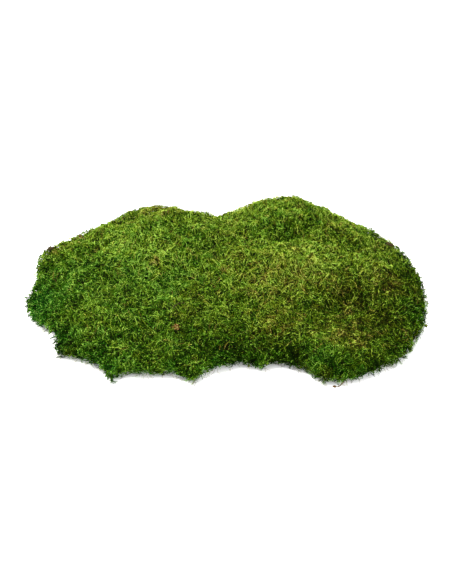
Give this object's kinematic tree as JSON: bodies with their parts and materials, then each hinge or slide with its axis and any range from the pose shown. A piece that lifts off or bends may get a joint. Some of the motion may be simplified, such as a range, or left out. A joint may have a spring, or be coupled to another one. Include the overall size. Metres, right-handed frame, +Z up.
{
  "type": "moss clump",
  "caption": "Low clump of living sheet moss, two joined mounds with a ragged edge, on a thin flat mat of soil that it rests on.",
  "frame": {"origin": "under the middle of the clump's box, at the level of the flat underside of the soil mat", "axes": "+X along the clump's length towards its right end, -Y towards the front that the picture shows, +Z up"},
  "size_m": [0.3336, 0.218, 0.056],
  "materials": {
    "moss": "matt, fine curled green shoots",
    "soil": "rough dark brown humus with dead stems",
    "dead_leaf": "dry, matt",
    "bark": "rough, matt"
  },
  "bodies": {
    "root": {"moss_cushion": "moss", "soil_mat": "soil", "leaf_flake": "dead_leaf", "dry_twig": "bark", "bark_chip_left": "bark", "bark_chip_right": "bark"}
  },
  "joints": []
}
